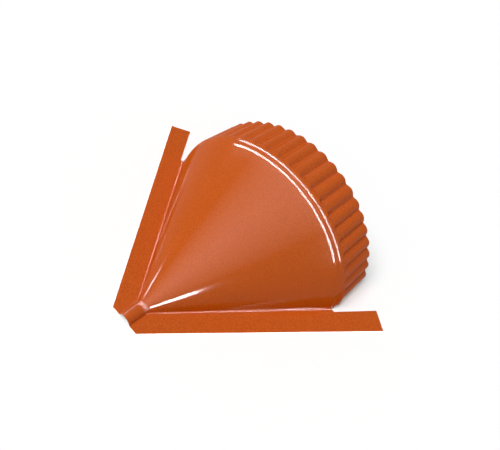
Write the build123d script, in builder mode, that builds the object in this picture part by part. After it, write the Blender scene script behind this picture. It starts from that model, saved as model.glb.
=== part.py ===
from build123d import *
import math
import os

# End cap for a half-round metal ridge, pressed and folded from one sheet of coated steel.
# +X runs across the ridge, +Y along it and into the ridge, +Z up.
# The origin is on the middle plane, at the rim, level with the underside of the flanges.
# Lengths are in millimetres and angles in degrees.

# Sheet
sheet = 0.5                 # thickness of the coated steel
fold_bend = 4.5             # rounding between hood and flange at the slit, on the outer face
nose_fold_bend = 1.5        # the same rounding at the nose

# Hood: its sections across the ridge are arcs that shrink towards a point at the nose
ridge_radius = 110.0        # outer face at the rim and on the crests of the collar
axis_drop = 20.0            # ridge axis below the top of the flanges
hood_length = 149.0         # rim to the point where the sides would meet
rim_bend = 17.0             # rounding between hood and collar
nose_radius = 6.6           # half-round rib that the hood runs out into
nose_bend = 10.0            # rounding between hood and rib
nose_steps = 3              # flat steps that make up that rounding
nose_overhang = 10.0        # rib past the point of the hood

# Collar, crimped so that it enters the ridge
collar_length = 44.5
collar_clearance = 4.0      # lower edge above the underside of the flanges
flute_count = 23
flute_pitch = 7.0           # angle about the ridge axis
flute_slope = 24.0          # flanks of a flute, down from the crests
flute_bend = 1.2            # rounding at the bottom of a flute
flute_ramp = 35.0           # angle at which a flute runs out at its front end
flute_front = 2.0           # front ends of the flutes, behind the rim
crest_bend = 3.8            # rounding of the crests between the flutes
crest_land = 1.6            # width of a crest before it is rounded
crest_lip = 0.05            # height at which the rounding would level out, above the collar

# Flanges, with widths measured square to the fold
flange_nose_width = 17.7
flange_tail_width = 24.4
tail_length = 45.5          # tail past the slit, along the fold
tail_gap = 3.6              # fold to the inner edge of the tail
slit_setback = 5.5          # slit in front of the rim
slit_width = 0.8
slit_height = 5.0           # slit up the side of the hood
free_edge_height = 1.2      # edge of the hood just behind the slit, above the underside of the flanges

# Reach of cutting tools past the metal, and slack for picking edges by their place
overrun = 10.0
slack = 0.01

# Ridge axis, nose and fold
axis_height = sheet - axis_drop
ridge_axis = Plane(origin=(0, 0, axis_height), x_dir=(1, 0, 0), z_dir=(0, -1, 0))
point_y = -hood_length
nose_share = nose_radius / ridge_radius
nose_y = point_y * (1 - nose_share)
nose_height = sheet - axis_drop * nose_share
nose_cut_y = point_y - nose_overhang
hood_slope = math.atan2(ridge_radius - axis_drop / 2, hood_length)
fold_half_width = math.sqrt(ridge_radius**2 - axis_drop**2)
fold_way = Vector(fold_half_width, hood_length, 0).normalized()
fold_line = Plane(origin=(0, point_y, 0), x_dir=fold_way, z_dir=(0, 0, 1))

# Flutes: a rounded V that ramps down behind the rim
half_flute = (ridge_radius * math.radians(flute_pitch) - crest_land) / 2
flute_corner = half_flute * math.tan(math.radians(flute_slope))
flute_start = flute_front + flute_corner / math.tan(math.radians(flute_ramp))
flute_span = flute_pitch * (flute_count - 1)
crest_room = crest_land / 2 / math.tan(math.radians(flute_slope / 2))
crest_round = min(crest_bend, 0.9 * crest_room)

# Slit, and the place where the free edge behind it has risen clear of the fold
slit_y = -slit_setback
slit_back = slit_y + slit_width
free_edge_y = slit_back + collar_clearance

# The rim is turned about the ridge axis from the slit on, and the fold flares out under its free edge
fold_end_y = slit_y + slit_width / 2
fold_end_radius = ridge_radius + fold_end_y * math.tan(hood_slope)
nose_turn = math.atan2(fold_end_radius - nose_radius, fold_end_y - nose_y)
rim_room = -fold_end_y / math.cos(hood_slope) / math.tan(hood_slope / 2)
rim_round = min(rim_bend, 0.95 * rim_room)
rim_cut = rim_round * (1 / math.cos(hood_slope / 2) - 1)
flare_radius = ridge_radius + min(free_edge_y, 0) * math.tan(hood_slope) - rim_cut


def from_fold(along, out):
    return fold_line.from_local_coords(Vector(along, -out, 0))


# Corners of one flange, on the +X side
slit_along = (slit_y - point_y + tail_gap * fold_way.X) / fold_way.Y
tail_along = slit_along + tail_length
flange_taper = (flange_tail_width - flange_nose_width) / tail_along
nose_along = (flange_nose_width * fold_way.X - nose_overhang) / (fold_way.Y - flange_taper * fold_way.X)
root_along = slit_along - flange_tail_width
nose_corner = from_fold(nose_along, flange_nose_width + flange_taper * nose_along)
root_outer = from_fold(root_along, flange_nose_width + flange_taper * root_along)
root_inner = from_fold(root_along, tail_gap)
slit_corner = from_fold(slit_along, tail_gap)
tail_outer = from_fold(tail_along, flange_tail_width)
tail_inner = from_fold(tail_along, tail_gap)


def flute_tool(depth):
    # Cuts one flute, seen from the ridge axis with X towards the flute and Z towards the nose
    lip = ridge_radius + crest_lip
    valley = lip - flute_corner
    half_pitch = half_flute + crest_land / 2
    back = -collar_length - 2 * overrun
    rise = overrun * math.tan(math.radians(flute_ramp))

    with BuildPart() as tool:
        with BuildLine() as run:
            Polyline(
                (valley, 0, back),
                (valley, 0, -flute_start),
                (valley + rise, 0, overrun - flute_start),
            )
        with BuildSketch(Plane.XY.offset(back)) as section:
            with BuildLine():
                Polyline(
                    (valley, 0),
                    (lip, half_flute),
                    (lip, half_pitch),
                    (lip + overrun, half_pitch),
                    (lip + overrun, 0),
                    close=True,
                )
            make_face()
            mirror(about=Plane.XZ)
            fillet(section.vertices().sort_by(Axis.X)[0], flute_bend)
            at_lip = section.vertices().filter_by_position(Axis.X, lip - slack, lip + slack)
            fillet(at_lip.filter_by(lambda corner: abs(corner.Y) < half_flute + slack), crest_round)
            if depth:
                offset(amount=depth)
        sweep(path=run.line, transition=Transition.RIGHT)
    return tool.part


def fold_section(place_y, share, radius, depth):
    # Hood and flanges cut across the ridge, share 0 at the nose and 1 at the slit, with a rounded fold
    # in each corner between them
    top = sheet - depth
    half_width = tail_outer.X + overrun + depth
    bend = nose_fold_bend + share * (fold_bend - nose_fold_bend) + depth

    with BuildSketch(Plane.XZ.offset(-place_y)) as section:
        with Locations((0, nose_height + share * (axis_height - nose_height))):
            Circle(radius)
        with Locations((0, top)):
            Rectangle(2 * half_width, 2 * ridge_radius, align=(Align.CENTER, Align.MAX))
        corners = section.vertices().filter_by_position(Axis.Y, top - slack, top + slack)
        fillet(corners.filter_by(lambda corner: abs(corner.X) < half_width - slack), bend)
    return section.sketch


def skin(depth):
    # Solid under one face of the sheet: its outer face at depth 0, its inner face at the full sheet
    collar_radius = ridge_radius - depth
    collar_end = collar_length + overrun
    rim_y = depth * math.tan(hood_slope / 2)
    wall = depth / math.cos(hood_slope)
    rear_radius = fold_end_radius - wall
    tip_y = nose_y + depth * math.tan(nose_turn / 2)
    tip_radius = nose_radius - depth
    tip_bend = nose_bend + depth

    with BuildPart() as form:
        # Rim and collar, turned about the ridge axis
        with BuildSketch(Plane.XY.offset(axis_height)) as turned:
            with BuildLine():
                Polyline(
                    (0, fold_end_y),
                    (rear_radius, fold_end_y),
                    (collar_radius, rim_y),
                    (collar_radius, collar_end),
                    (0, collar_end),
                    close=True,
                )
            make_face()
            rim_corner = turned.vertices().sort_by_distance((collar_radius, rim_y))[0]
            fillet(rim_corner, rim_round - depth)
        revolve(axis=Axis(ridge_axis.origin, (0, 1, 0)))

        # Crimps around the collar
        with Locations(ridge_axis):
            with PolarLocations(0, flute_count, 90 - flute_span / 2, flute_span, endpoint=True):
                add(flute_tool(depth), mode=Mode.SUBTRACT)

        # Hood and flanges, from the rib at the nose to the free edge behind the slit
        sections = []
        for step in range(nose_steps + 1):
            turn = nose_turn * step / nose_steps
            place_y = tip_y + tip_bend * (math.sin(turn) - math.tan(nose_turn / 2))
            rise = tip_bend * (1 - math.cos(turn))
            share = rise / (rear_radius - tip_radius)
            sections.append(fold_section(place_y, share, tip_radius + rise, depth))
        sections.append(fold_section(fold_end_y, 1, rear_radius, depth))
        sections.append(fold_section(free_edge_y, 1, flare_radius - wall, depth))
        loft(sections, ruled=True)
        rib_length = sections[0].center().Y - nose_cut_y + overrun + depth
        extrude(sections[0], amount=rib_length)
    return form.part


# Outline of the blank in plan: nose cut, outer edges of the flanges, end of the collar
with BuildPart() as blank:
    with BuildSketch(Plane.XY.offset(-overrun)):
        with BuildLine():
            Polyline(
                (0, nose_cut_y),
                nose_corner,
                tail_outer,
                (tail_outer.X, collar_length),
                (0, collar_length),
                close=True,
            )
        make_face()
        mirror(about=Plane.YZ)
    extrude(amount=ridge_radius + 2 * overrun)

# Relief that frees the collar from the tails, with a slit through each fold
relief_back = collar_length + 2 * overrun
relief_foot = axis_height - ridge_radius - overrun
with BuildPart() as relief:
    with BuildSketch(Plane.XY.offset(relief_foot)):
        with BuildLine():
            Polyline(
                (0, slit_y),
                slit_corner,
                tail_inner,
                (tail_inner.X, relief_back),
                (0, relief_back),
                close=True,
            )
        make_face()
        mirror(about=Plane.YZ)
    extrude(amount=2 * ridge_radius)
    with BuildSketch(Plane.YZ):
        with BuildLine():
            Polyline(
                (slit_y, relief_foot),
                (slit_y, slit_height),
                (slit_back, slit_height),
                (slit_back, free_edge_height),
                (free_edge_y, collar_clearance),
                (relief_back, collar_clearance),
                (relief_back, relief_foot),
                close=True,
            )
        make_face()
    extrude(amount=tail_outer.X, both=True, mode=Mode.INTERSECT)

outer_skin = skin(0)
inner_skin = skin(sheet)

# The sheet is what lies between its two faces, and the tails carry the flanges on past the slits
with BuildPart() as ridge_end_cap:
    add(outer_skin)
    add(inner_skin, mode=Mode.SUBTRACT)
    add(blank.part, mode=Mode.INTERSECT)
    add(relief.part, mode=Mode.SUBTRACT)
    with BuildSketch():
        with BuildLine():
            Polyline(root_inner, tail_inner, tail_outer, root_outer, close=True)
        make_face()
        mirror(about=Plane.YZ)
    extrude(amount=sheet)

ridge_end_cap.part.label = "ridge_end_cap"
os.makedirs("parts", exist_ok=True)
export_step(ridge_end_cap.part, "parts/ridge_end_cap.step")
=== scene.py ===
import bmesh
import bpy
import math
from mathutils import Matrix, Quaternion, Vector


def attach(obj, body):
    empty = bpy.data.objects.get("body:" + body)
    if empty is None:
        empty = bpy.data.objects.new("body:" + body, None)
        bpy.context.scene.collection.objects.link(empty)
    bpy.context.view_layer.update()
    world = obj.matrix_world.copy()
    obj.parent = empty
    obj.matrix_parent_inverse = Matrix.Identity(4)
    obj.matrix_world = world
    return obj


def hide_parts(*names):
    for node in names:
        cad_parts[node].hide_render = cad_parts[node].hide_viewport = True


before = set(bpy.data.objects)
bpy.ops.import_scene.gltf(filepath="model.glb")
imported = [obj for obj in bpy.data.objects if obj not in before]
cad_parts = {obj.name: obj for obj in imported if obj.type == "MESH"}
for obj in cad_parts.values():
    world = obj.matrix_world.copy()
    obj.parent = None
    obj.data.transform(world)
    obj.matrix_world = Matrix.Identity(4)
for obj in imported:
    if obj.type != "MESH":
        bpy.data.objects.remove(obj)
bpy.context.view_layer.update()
scene = bpy.context.scene
scene.view_settings.view_transform = "Standard"
mm = 0.001


def hexToLinear(code):
    parts = [int(code[i:i + 2], 16) / 255 for i in (1, 3, 5)]
    return [p / 12.92 if p <= 0.04045 else ((p + 0.055) / 1.055) ** 2.4 for p in parts] + [1.0]


def addNode(tree, kind, settings=None, inputs=None):
    node = tree.nodes.new(kind)
    for name, value in (settings or {}).items():
        setattr(node, name, value)
    for name, value in (inputs or {}).items():
        if isinstance(value, bpy.types.NodeSocket):
            tree.links.new(value, node.inputs[name])
        else:
            node.inputs[name].default_value = value
    return node


def newMaterial(name):
    material = bpy.data.materials.new(name)
    material.use_nodes = True
    material.node_tree.nodes.clear()
    return material, material.node_tree


# Coil-coated steel, satin polyester: an even colour with a fine orange peel and a soft clear gloss
coat = {
    "colour": "#BC4F08",
    "lighter": "#CC6216",
    "darker": "#A64004",
    "roughness": 0.5,
    "specular": 0.0,            # the clear gloss alone mirrors
    "gloss": 0.25,
    "glossRoughness": 0.1,
    "index": 1.5,
    "peel": 1.4,                # mm between the bumps of the orange peel
    "peelHeight": 0.05,         # mm
    "peelStrength": 0.12,
    "grain": 1.1,               # mm, pigment speckle drawn coarse enough to show in the render
    "grainSpan": (0.32, 0.68),  # noise values at which the speckle is darkest and lightest
    "cloud": 45.0,              # mm, slow drift of the colour
}


def satinPolyesterCoat():
    material, tree = newMaterial("satinPolyesterCoat")
    place = addNode(tree, "ShaderNodeTexCoord")
    spot = place.outputs["Object"]
    grain = addNode(tree, "ShaderNodeTexNoise", inputs={
        "Vector": spot, "Scale": 1 / (coat["grain"] * mm), "Detail": 2.0, "Roughness": 0.6})
    cloud = addNode(tree, "ShaderNodeTexNoise", inputs={
        "Vector": spot, "Scale": 1 / (coat["cloud"] * mm), "Detail": 3.0})
    speckle = addNode(tree, "ShaderNodeValToRGB", inputs={"Fac": grain.outputs["Fac"]})
    for stop, value, tint in zip(speckle.color_ramp.elements, coat["grainSpan"], ("darker", "lighter")):
        stop.position = value
        stop.color = hexToLinear(coat[tint])
    drift = addNode(tree, "ShaderNodeMix", {"data_type": "RGBA"}, {
        "Factor": cloud.outputs["Fac"], "A": speckle.outputs["Color"], "B": hexToLinear(coat["colour"])})
    peel = addNode(tree, "ShaderNodeTexNoise", inputs={
        "Vector": spot, "Scale": 1 / (coat["peel"] * mm), "Detail": 1.0})
    bump = addNode(tree, "ShaderNodeBump", inputs={
        "Height": peel.outputs["Fac"], "Strength": coat["peelStrength"], "Distance": coat["peelHeight"] * mm})
    shader = addNode(tree, "ShaderNodeBsdfPrincipled", inputs={
        "Base Color": drift.outputs["Result"], "Roughness": coat["roughness"], "IOR": coat["index"],
        "Specular IOR Level": coat["specular"], "Coat Weight": coat["gloss"],
        "Coat Roughness": coat["glossRoughness"], "Coat IOR": coat["index"],
        "Normal": bump.outputs["Normal"], "Coat Normal": bump.outputs["Normal"]})
    addNode(tree, "ShaderNodeOutputMaterial", inputs={"Surface": shader.outputs["BSDF"]})
    return material


# Epoxy primer on the hidden side: thin, grey and flat
backing = {
    "colour": "#A9A8A3",
    "roughness": 0.6,
    "index": 1.5,
    "mottle": 6.0,              # mm
    "darkest": 0.92,            # shares of the colour
    "lightest": 1.06,
}


def epoxyBackingCoat():
    material, tree = newMaterial("epoxyBackingCoat")
    place = addNode(tree, "ShaderNodeTexCoord")
    mottle = addNode(tree, "ShaderNodeTexNoise", inputs={
        "Vector": place.outputs["Object"], "Scale": 1 / (backing["mottle"] * mm), "Detail": 4.0})
    shade = addNode(tree, "ShaderNodeMapRange", inputs={
        "Value": mottle.outputs["Fac"], "To Min": backing["darkest"], "To Max": backing["lightest"]})
    tone = addNode(tree, "ShaderNodeVectorMath", {"operation": "SCALE"}, {
        "Vector": hexToLinear(backing["colour"])[:3], "Scale": shade.outputs["Result"]})
    shader = addNode(tree, "ShaderNodeBsdfPrincipled", inputs={
        "Base Color": tone.outputs["Vector"], "Roughness": backing["roughness"], "IOR": backing["index"]})
    addNode(tree, "ShaderNodeOutputMaterial", inputs={"Surface": shader.outputs["BSDF"]})
    return material


# Sheared edge of the galvanised sheet: bare, pale and slightly torn
shearedEdge = {
    "colour": "#C9B3A2",
    "smoothest": 0.28,          # roughness between the tears
    "roughest": 0.48,           # roughness in the tears
    "tear": 0.4,                # mm
}


def shearedZincEdge():
    material, tree = newMaterial("shearedZincEdge")
    place = addNode(tree, "ShaderNodeTexCoord")
    tear = addNode(tree, "ShaderNodeTexNoise", inputs={
        "Vector": place.outputs["Object"], "Scale": 1 / (shearedEdge["tear"] * mm), "Detail": 2.0})
    worn = addNode(tree, "ShaderNodeMapRange", inputs={
        "Value": tear.outputs["Fac"], "To Min": shearedEdge["smoothest"], "To Max": shearedEdge["roughest"]})
    shader = addNode(tree, "ShaderNodeBsdfPrincipled", inputs={
        "Base Color": hexToLinear(shearedEdge["colour"]), "Metallic": 1.0,
        "Roughness": worn.outputs["Result"]})
    addNode(tree, "ShaderNodeOutputMaterial", inputs={"Surface": shader.outputs["BSDF"]})
    return material


# The cap itself: sections across the ridge are set along one half and bridged as the outer face of
# the sheet, then the half is cut to its outline, crimped, mirrored and given its thickness
cap = {
    "sheet": 0.5,              # mm, as every length here
    "ridgeRadius": 110.0,      # outer face behind the rim and on the crests of the collar
    "axisDrop": 20.0,          # ridge axis below the top of the flanges
    "hoodLength": 149.0,       # rim to the point where the sides would meet
    "hoodRows": 14,
    "foldBend": 4.5,           # rounding between hood and flange at the rim
    "noseFoldBend": 1.5,       # the same at the nose
    "foldSteps": 8,
    "rimBend": 34.0,           # wide rounding of the rim on the side of the hood
    "rimEdgeBend": 10.0,       # tighter rounding on the side of the collar
    "rimEdgeAngle": 20.0,      # degrees, slope at which the two roundings meet
    "rimRows": 20,
    "noseRadius": 6.6,         # half-round rib that the hood runs out into
    "noseBend": 10.0,          # rounding between hood and rib
    "noseRows": 7,
    "noseOverhang": 10.0,      # rib past the point of the hood
    "collarLength": 44.5,
    "collarRows": 8,
    "collarClearance": 4.0,    # lower edge above the underside of the flanges
    "flutePitch": 7.0,         # degrees
    "fluteDepth": 3.0,         # before the bottom is rounded
    "fluteNotch": 0.15,        # share of the depth that the rounding takes
    "fluteFront": 1.0,         # front ends of the flutes, behind the rim
    "fluteRamp": 35.0,         # degrees, at which a flute runs out there
    "fluteBlend": 0.12,        # softness of the edge where a flute leaves the collar
    "stepsPerFlute": 16,
    "flutesPerSide": 11,
    "legArc": 0.5,             # degrees, least plain arc between the flutes and the fold
    "legSteps": 2,
    "slitSetback": 5.5,        # slit in front of the rim
    "slitWidth": 0.8,
    "freeEdgeHeight": 1.2,     # edge of the hood just behind the slit, above the underside of the flanges
    "trimHeight": 8.0,         # faces that reach below this are cut along the free edge
    "tailGap": 3.6,            # fold to the inner edge of the tail
    "tailLength": 45.5,        # past the slit, along the fold
    "flangeNoseWidth": 17.7,   # square to the fold
    "flangeTailWidth": 24.4,
    "brimReach": 4.0,          # width of the flange before it is cut, in ridge radii
    "tailReach": 2.0,          # length of the tail before it is cut, in tail lengths
    "sharpAngle": 40.0,        # degrees, corners above this are shaded sharp
}
flatSlack = 0.005              # mm, for telling flange faces by their height
cutSlack = 1e-4                # mm, for the cutting planes
pickSlack = 0.01               # mm, for picking the edges that a tail grows from
rowSlack = 0.05                # mm, rows nearer than this to the slit are left out
mergeSlack = 0.002             # mm, for joining rows and halves


def everything(faces):
    edges = dict.fromkeys(e for f in faces for e in f.edges)
    verts = dict.fromkeys(v for f in faces for v in f.verts)
    return list(faces) + list(edges) + list(verts)


def spread(start, end, count):
    return [start + (end - start) * n / count for n in range(count + 1)]


def buildCap():
    shape = bmesh.new()
    rowMesh = bpy.data.meshes.new("sectionRow")
    top = cap["sheet"]
    axisZ = top - cap["axisDrop"]
    radius = cap["ridgeRadius"]
    noseRadius = cap["noseRadius"]
    apex = Vector((0, -cap["hoodLength"], top))
    noseY = apex.y * (1 - noseRadius / radius)
    noseZ = top - cap["axisDrop"] * noseRadius / radius
    turn = math.atan2(radius, cap["hoodLength"])
    reach = math.tan(turn / 2)   # of a rounding from its corner, per radius
    slitY = -cap["slitSetback"]
    slitBack = slitY + cap["slitWidth"]
    halfFlutes = cap["flutePitch"] * cap["flutesPerSide"]

    # The rim is a wide arc from the hood and a tighter one into the collar, which meet at one slope
    rimBend = cap["rimBend"]
    edgeBend = cap["rimEdgeBend"]
    edgeTurn = math.radians(cap["rimEdgeAngle"])
    edgeDrop = edgeBend * (1 - math.cos(edgeTurn))
    rimDrop = edgeDrop + rimBend * (math.cos(edgeTurn) - math.cos(turn))
    rimFront = -rimDrop / math.tan(turn)
    edgeY = rimFront + rimBend * (math.sin(turn) - math.sin(edgeTurn))
    rimBack = edgeY + edgeBend * math.sin(edgeTurn)

    def radiusAt(y):
        noseBow = reach + (y - noseY) / cap["noseBend"]
        if y >= rimBack:
            return radius
        if y >= edgeY:
            bow = (rimBack - y) / edgeBend
            return radius - edgeBend * (1 - math.sqrt(1 - bow ** 2))
        if y >= rimFront:
            bow = math.sin(edgeTurn) + (edgeY - y) / rimBend
            return radius - edgeDrop - rimBend * (math.cos(edgeTurn) - math.sqrt(1 - bow ** 2))
        if noseBow <= 0:
            return noseRadius
        if noseBow < math.sin(turn):
            return noseRadius + cap["noseBend"] * (1 - math.sqrt(1 - noseBow ** 2))
        return radius + y * math.tan(turn)

    def arc(line, start, centre, degrees, steps):
        spun = bmesh.ops.spin(line, geom=[start], cent=centre, axis=(0, 1, 0),
                              angle=math.radians(degrees), steps=steps)
        return [g for g in spun["geom_last"] if isinstance(g, bmesh.types.BMVert)][0]

    # One row of edges across the half: flutes from the crown down, a plain leg, the fold and the flange
    def sectionRow(y, brim):
        line = bmesh.new()
        rowRadius = radiusAt(y)
        share = (rowRadius - noseRadius) / (radius - noseRadius)
        centre = Vector((0, y, noseZ + share * (axisZ - noseZ)))
        bend = cap["noseFoldBend"] + share * (cap["foldBend"] - cap["noseFoldBend"])
        rise = top + bend - centre.z
        foldCentre = Vector((math.sqrt((rowRadius + bend) ** 2 - rise ** 2), y, top + bend))
        wallArc = 90 - math.degrees(math.atan2(rise, foldCentre.x))
        fluted = min(halfFlutes, wallArc - cap["legArc"])
        crown = line.verts.new(centre + Vector((0, 0, rowRadius)))
        low = arc(line, crown, centre, fluted, cap["flutesPerSide"] * cap["stepsPerFlute"])
        foldTop = arc(line, low, centre, wallArc - fluted, cap["legSteps"])
        foot = arc(line, foldTop, foldCentre, -wallArc, cap["foldSteps"])
        foot.co.z = top
        if brim:
            far = bmesh.ops.extrude_vert_indiv(line, verts=[foot])["verts"]
            bmesh.ops.translate(line, vec=(cap["brimReach"] * radius, 0, 0), verts=far)
        line.to_mesh(rowMesh)
        line.free()
        known = set(shape.edges)
        shape.from_mesh(rowMesh)
        return [e for e in shape.edges if e not in known]

    def bridgeRows(places, brim):
        row = sectionRow(places[0], brim)
        for y in places[1:]:
            following = sectionRow(y, brim)
            bmesh.ops.bridge_loops(shape, edges=row + following)
            row = following

    # Places of the rows, from the nose cut to the end of the collar
    noseCut = apex.y - cap["noseOverhang"]
    noseTurns = spread(0, turn, cap["noseRows"])
    noseRows = [noseY + cap["noseBend"] * (math.sin(a) - reach) for a in noseTurns]
    rimRows = spread(rimFront, rimBack, cap["rimRows"])
    hoodRows = spread(noseRows[-1], min(rimRows[0], slitY), cap["hoodRows"])[1:-1]
    collarRows = spread(rimRows[-1], cap["collarLength"], cap["collarRows"])[1:]
    places = [noseCut] + noseRows + hoodRows + rimRows + collarRows
    front = [y for y in places if y < slitY - rowSlack] + [slitY]
    back = [slitY, slitBack] + [y for y in places if y > slitBack + rowSlack]
    bridgeRows(front, True)
    print("hood bridged", len(shape.faces))

    # Flange, cut to its outline, with the tail drawn on past the slit
    foldWay = Vector((math.sqrt(radius ** 2 - cap["axisDrop"] ** 2), cap["hoodLength"], 0)).normalized()
    foldOut = Vector((foldWay.y, -foldWay.x, 0))
    slitAlong = (slitY - apex.y + cap["tailGap"] * foldWay.x) / foldWay.y
    tailAlong = slitAlong + cap["tailLength"]
    slitCorner = apex + foldWay * slitAlong + foldOut * cap["tailGap"]
    tailOuter = apex + foldWay * tailAlong + foldOut * cap["flangeTailWidth"]
    outerWay = (tailOuter - (apex + foldOut * cap["flangeNoseWidth"])).normalized()

    def cut(faces, point, normal, clear=True):
        bmesh.ops.bisect_plane(shape, geom=everything(faces), dist=cutSlack, plane_co=point, plane_no=normal,
                               clear_outer=clear)

    def flatFaces():
        return [f for f in shape.faces if max(v.co.z for v in f.verts) < top + flatSlack]

    cut(flatFaces(), slitCorner, foldOut, clear=False)
    tailRoot = [e for e in shape.edges if e.is_boundary
                and min(v.co.x for v in e.verts) > slitCorner.x - pickSlack
                and max(abs(v.co.y - slitY) for v in e.verts) < pickSlack]
    tail = bmesh.ops.extrude_edge_only(shape, edges=tailRoot)["geom"]
    tailVerts = [g for g in tail if isinstance(g, bmesh.types.BMVert)]
    bmesh.ops.translate(shape, vec=foldWay * cap["tailReach"] * cap["tailLength"], verts=tailVerts)
    cut(flatFaces(), tailOuter, (outerWay.y, -outerWay.x, 0))
    cut([f for f in shape.faces if f.calc_center_median().y > slitY], tailOuter, foldWay)
    print("flange cut", len(shape.faces))

    # Rim and collar, joined to the hood above the slit
    hoodFaces = set(shape.faces)
    hoodVerts = set(shape.verts)
    bridgeRows(back, False)
    slitTop = axisZ + radiusAt(slitY) * math.sin(math.radians(90 - halfFlutes))
    slot = [f for f in shape.faces if f not in hoodFaces and f.calc_center_median().y < slitBack
            and f.calc_center_median().z < slitTop]
    bmesh.ops.delete(shape, geom=slot, context="FACES")

    # Crimps: each flute sinks the collar along a smooth wave and ramps out at its front end
    pitch = math.radians(cap["flutePitch"])
    ramp = math.tan(math.radians(cap["fluteRamp"]))
    fluteStart = cap["fluteFront"] + cap["fluteDepth"] / ramp
    for v in shape.verts:
        if v in hoodVerts or v.co.y < 0:
            continue
        middle = Vector((0, v.co.y, axisZ))
        arm = v.co - middle
        around = math.atan2(arm.z, arm.x) - math.pi / 2
        crest = math.sin(math.pi * around / pitch)
        sink = 1 - min(1, math.sqrt(crest ** 2 + cap["fluteNotch"] ** 2))
        bed = radius - cap["fluteDepth"] * sink + max(0, fluteStart - v.co.y) * ramp
        gap = arm.length - bed
        sunk = (arm.length + bed - math.sqrt(gap * gap + cap["fluteBlend"] ** 2)) / 2
        v.co = middle + arm.normalized() * sunk
    print("collar crimped", len(shape.faces))

    # Free lower edge of the collar, which rises from the slit
    def lowFaces():
        collarFaces = [f for f in shape.faces if f not in hoodFaces]
        return [f for f in collarFaces if min(v.co.z for v in f.verts) < cap["trimHeight"]]

    clearY = slitBack + cap["collarClearance"]
    clearPoint = Vector((0, clearY, cap["collarClearance"]))
    slope = (0, cap["collarClearance"] - cap["freeEdgeHeight"], -cap["collarClearance"])
    cut(lowFaces(), clearPoint, (0, 1, 0), clear=False)
    cut([f for f in lowFaces() if f.calc_center_median().y > clearY], clearPoint, (0, 0, -1))
    cut([f for f in lowFaces() if slitBack < f.calc_center_median().y < clearY], clearPoint, slope)

    # The other half, and metres
    bmesh.ops.remove_doubles(shape, verts=shape.verts[:], dist=mergeSlack)
    half = shape.verts[:] + shape.edges[:] + shape.faces[:]
    bmesh.ops.mirror(shape, geom=half, axis="X", merge_dist=mergeSlack)
    bmesh.ops.recalc_face_normals(shape, faces=shape.faces[:])
    highest = max(shape.faces, key=lambda f: f.calc_center_median().z)
    if highest.normal.z < 0:
        bmesh.ops.reverse_faces(shape, faces=shape.faces[:])
    bmesh.ops.scale(shape, vec=(mm, mm, mm), verts=shape.verts[:])
    mesh = bpy.data.meshes.new("coatedCap")
    shape.to_mesh(mesh)
    shape.free()
    bpy.data.meshes.remove(rowMesh)
    piece = bpy.data.objects.new("coatedCap", mesh)
    scene.collection.objects.link(piece)
    return piece


capPiece = buildCap()
for finish in (satinPolyesterCoat(), epoxyBackingCoat(), shearedZincEdge()):
    capPiece.data.materials.append(finish)
wall = capPiece.modifiers.new("sheetThickness", "SOLIDIFY")
wall.thickness = cap["sheet"] * mm
wall.offset = -1                 # inwards from the outer face
wall.use_even_offset = True
wall.material_offset = 1         # backing on the inner face
wall.material_offset_rim = 2     # bare metal on the cut edges
solid = bpy.data.meshes.new_from_object(capPiece.evaluated_get(bpy.context.evaluated_depsgraph_get()))
capPiece.modifiers.clear()
capPiece.data = solid
for face in solid.polygons:
    face.use_smooth = True
solid.set_sharp_from_angle(angle=math.radians(cap["sharpAngle"]))
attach(capPiece, "root")
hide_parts("ridge_end_cap")
print("cap made", len(capPiece.data.polygons))

# Floor and background: white, with the object's own shadow; floor and lamps are set in metres
stageSet = {"floorSize": 12.0, "white": "#FFFFFF"}
floorMesh = bpy.data.meshes.new("studioFloor")
floorShape = bmesh.new()
bmesh.ops.create_grid(floorShape, x_segments=1, y_segments=1, size=stageSet["floorSize"] / 2)
floorShape.to_mesh(floorMesh)
floorShape.free()
floor = bpy.data.objects.new("studioFloor", floorMesh)
scene.collection.objects.link(floor)
paper, paperTree = newMaterial("whitePaper")
paperShader = addNode(paperTree, "ShaderNodeBsdfDiffuse", inputs={"Color": hexToLinear(stageSet["white"])})
addNode(paperTree, "ShaderNodeOutputMaterial", inputs={"Surface": paperShader.outputs["BSDF"]})
floorMesh.materials.append(paper)

# A dim even room; seen directly or in the gloss it is white
roomSet = {"ambient": 0.33, "seen": 1.0}
world = bpy.data.worlds.new("studioRoom")
scene.world = world
world.use_nodes = True
roomTree = world.node_tree
roomTree.nodes.clear()
ray = addNode(roomTree, "ShaderNodeLightPath")
seen = addNode(roomTree, "ShaderNodeMath", {"operation": "ADD"}, {
    0: ray.outputs["Is Camera Ray"], 1: ray.outputs["Is Glossy Ray"]})
seenAll = addNode(roomTree, "ShaderNodeMath", {"operation": "ADD", "use_clamp": True}, {
    0: seen.outputs["Value"], 1: ray.outputs["Is Transmission Ray"]})
level = addNode(roomTree, "ShaderNodeMapRange", inputs={
    "Value": seenAll.outputs["Value"], "To Min": roomSet["ambient"], "To Max": roomSet["seen"]})
room = addNode(roomTree, "ShaderNodeBackground", inputs={
    "Color": hexToLinear(stageSet["white"]), "Strength": level.outputs["Result"]})
addNode(roomTree, "ShaderNodeOutputWorld", inputs={"Surface": room.outputs["Background"]})

# A soft key from above lights the colour and is not mirrored; the other lamps are seen only in the gloss
keyLight = {"from": (-0.30, -0.36, 0.88), "strength": 2.4, "spread": 36.0}   # spread in degrees
sun = bpy.data.lights.new("softKey", "SUN")
sun.energy = keyLight["strength"]
sun.angle = math.radians(keyLight["spread"])
key = bpy.data.objects.new("softKey", sun)
key.rotation_mode = "QUATERNION"
key.rotation_quaternion = (-Vector(keyLight["from"])).to_track_quat("-Z", "Y")
key.visible_glossy = False
scene.collection.objects.link(key)


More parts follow.
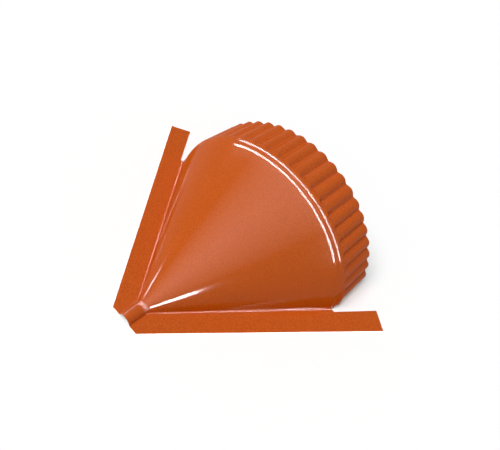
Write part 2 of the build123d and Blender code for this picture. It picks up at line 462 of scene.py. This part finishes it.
# A lamp with two equal sides is round; its power grows with its area, so glare sets how bright it looks
def addGlossLamp(name, at, size, glare, turn):
    data = bpy.data.lights.new(name, "AREA")
    data.shape = "RECTANGLE" if size[0] != size[1] else "ELLIPSE"
    data.size, data.size_y = size
    data.energy = glare * math.pi * size[0] * size[1]
    light = bpy.data.objects.new(name, data)
    light.location = at
    light.rotation_mode = "QUATERNION"
    light.rotation_quaternion = turn
    light.visible_diffuse = False
    scene.collection.objects.link(light)


# Two hoops of light over the ridge draw the two white lines along the rim; their lean, sway and width
# are shares of their radius
hoops = {
    "frontHoop": {"lean": -0.225, "sway": 0.23, "width": 0.06, "glare": 130.0},
    "backHoop": {"lean": 0.06, "sway": 0.19, "width": 0.04, "glare": 130.0},
}
hoopSet = {
    "radius": 2.4,
    "from": 10.0,               # degrees about the ridge, from the right
    "to": 162.0,
    "lamps": 10,
    "middle": 65.0,              # degrees, where a hoop has its own lean
    "reach": 95.0,               # degrees from there to the place where it has swayed back in full
}
lampArc = math.radians(hoopSet["to"] - hoopSet["from"]) / hoopSet["lamps"]
for hoopName, hoop in hoops.items():
    size = (2 * hoopSet["radius"] * math.tan(lampArc / 2), hoop["width"] * hoopSet["radius"])
    for n in range(hoopSet["lamps"]):
        angle = math.radians(hoopSet["from"]) + (n + 0.5) * lampArc
        off = (angle - math.radians(hoopSet["middle"])) / math.radians(hoopSet["reach"])
        lean = hoop["lean"] + hoop["sway"] * off ** 2
        slant = math.atan(2 * hoop["sway"] * off / math.radians(hoopSet["reach"]))
        at = Vector((math.cos(angle), lean, math.sin(angle))) * hoopSet["radius"]
        turn = Quaternion((0, 1, 0), math.pi / 2 - angle) @ Quaternion((0, 0, 1), -slant)
        addGlossLamp(f"{hoopName}{n}", at, size, hoop["glare"], turn)

# Two small round lamps draw the streaks beside the nose
glossLamps = {
    "noseLamp": {"at": (0.76, -0.72, 0.29), "size": (0.20, 0.20), "glare": 160.0},
    "leftLamp": {"at": (-0.95, -0.47, 0.14), "size": (0.10, 0.10), "glare": 70.0},
}
aimPoint = Vector((0, -0.06, 0.03))   # middle of the cap, which these lamps and the sheen face
for lampName, lamp in glossLamps.items():
    turn = (aimPoint - Vector(lamp["at"])).to_track_quat("-Z", "Y")
    addGlossLamp(lampName, lamp["at"], lamp["size"], lamp["glare"], turn)

# Nested panels, brightest in the middle, give the broad sheen on the hood a soft border
sheen = {"at": (-0.04, -0.68, 0.93), "size": 2.9, "panels": 8, "step": 0.02, "glare": 0.6}
outwards = Vector(sheen["at"]) - aimPoint
turn = (-outwards).to_track_quat("-Z", "Y")
for n in range(sheen["panels"]):
    width = sheen["size"] * (n + 1) / sheen["panels"]
    at = Vector(sheen["at"]) + outwards.normalized() * sheen["step"] * n
    addGlossLamp(f"sheenPanel{n}", at, (width, width), sheen["glare"], turn)
print("lights set", len(bpy.data.lights))

# Camera at the photograph's viewing angle
photoView = {
    "spot": (114.14, -284.93, 361.10),   # mm
    "azimuth": 23.24,                    # degrees, as the next two
    "elevation": 49.555,
    "roll": 26.58,
    "lens": 34.56,                       # mm
    "sensor": 36.0,                      # mm
    "nearClip": 10.0,                    # mm
}
azimuth = math.radians(photoView["azimuth"])
elevation = math.radians(photoView["elevation"])
aim = Vector((-math.sin(azimuth) * math.cos(elevation),
              math.cos(azimuth) * math.cos(elevation),
              -math.sin(elevation)))
cameraData = bpy.data.cameras.new("photoCamera")
cameraData.lens = photoView["lens"]
cameraData.sensor_width = photoView["sensor"]
cameraData.clip_start = photoView["nearClip"] * mm
camera = bpy.data.objects.new("photoCamera", cameraData)
camera.location = Vector(photoView["spot"]) * mm
camera.rotation_mode = "QUATERNION"
camera.rotation_quaternion = (aim.to_track_quat("-Z", "Y")
                              @ Quaternion((0, 0, 1), math.radians(photoView["roll"])))
scene.collection.objects.link(camera)
scene.camera = camera
print("camera set")
